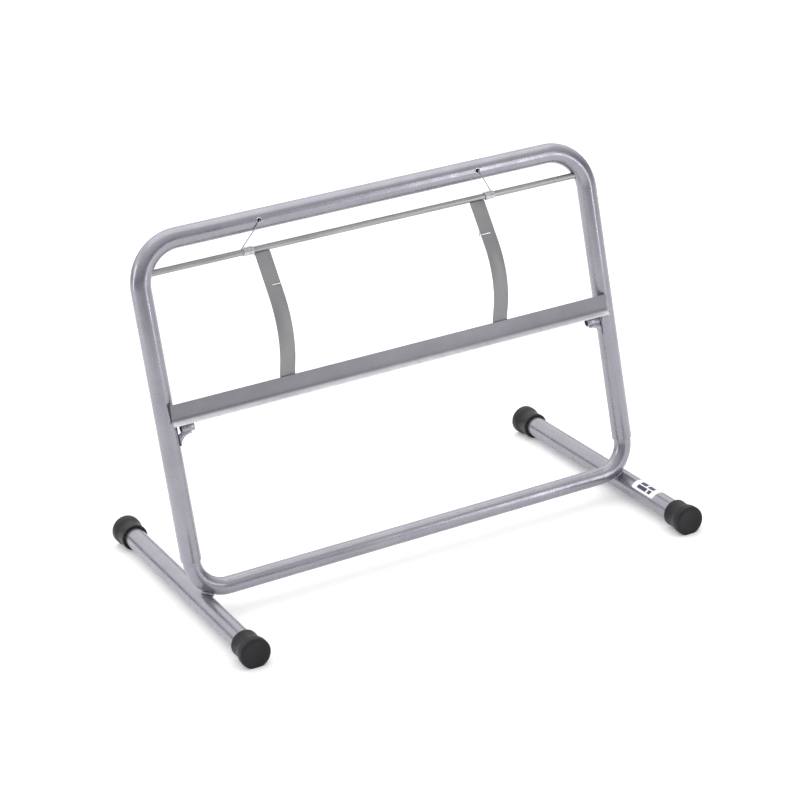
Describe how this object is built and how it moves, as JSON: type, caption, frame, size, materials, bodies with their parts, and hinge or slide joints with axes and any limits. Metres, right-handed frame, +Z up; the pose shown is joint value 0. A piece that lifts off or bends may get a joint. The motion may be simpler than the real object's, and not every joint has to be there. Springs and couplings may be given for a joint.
{
  "type": "paper roll stand",
  "caption": "Backward-leaning tube-frame stand on two foot tubes with rubber ends, with a sprung press bar hung from a rod under its top tube.",
  "frame": {"origin": "on the floor, at the middle of the stand's footprint", "axes": "+X to the stand's left-to-right as seen from the front, -Y to the front, +Z up; the frame leans back towards +Y by 10 degrees"},
  "size_m": [0.643, 0.424, 0.4712],
  "materials": {
    "silver_paint": "satin silver-grey paint with a slight violet cast",
    "grey_steel": "plain drawn steel rod, lightly brushed",
    "spring_wire": "bright zinc-plated spring wire",
    "black_rubber": "matte black moulded rubber",
    "white_label": null
  },
  "bodies": {
    "base": {"lower_u_tube": "silver_paint", "foot_tube_left": "silver_paint", "foot_tube_right": "silver_paint", "foot_cap_front_left": "black_rubber", "foot_cap_front_right": "black_rubber", "foot_cap_rear_left": "black_rubber", "foot_cap_rear_right": "black_rubber", "blank_label": "white_label"},
    "hoop": {"upper_hoop": "silver_paint", "axle_socket_left": "silver_paint", "axle_socket_right": "silver_paint", "socket_gusset_left": "silver_paint", "socket_gusset_right": "silver_paint", "return_spring_left": "spring_wire", "return_spring_right": "spring_wire"},
    "swing": {"pivot_rod": "grey_steel", "bar_arm_left": "silver_paint", "bar_arm_right": "silver_paint", "press_bar": "silver_paint"}
  },
  "joints": [
    {"name": "hoop_slide", "type": "slide", "parent": "base", "child": "hoop", "axis": [0, 0.1736, 0.9848], "range_m": [0, 0.06]},
    {"name": "press_bar_swing", "type": "hinge", "parent": "hoop", "child": "swing", "pos_m": [0, 0.01703, 0.42361], "axis": [-1, 0, 0], "range_deg": [0, 80], "stiffness_Nm_per_rad": 0.35, "springref_deg": -34.38, "deforming": ["return_spring_left", "return_spring_right"]}
  ]
}
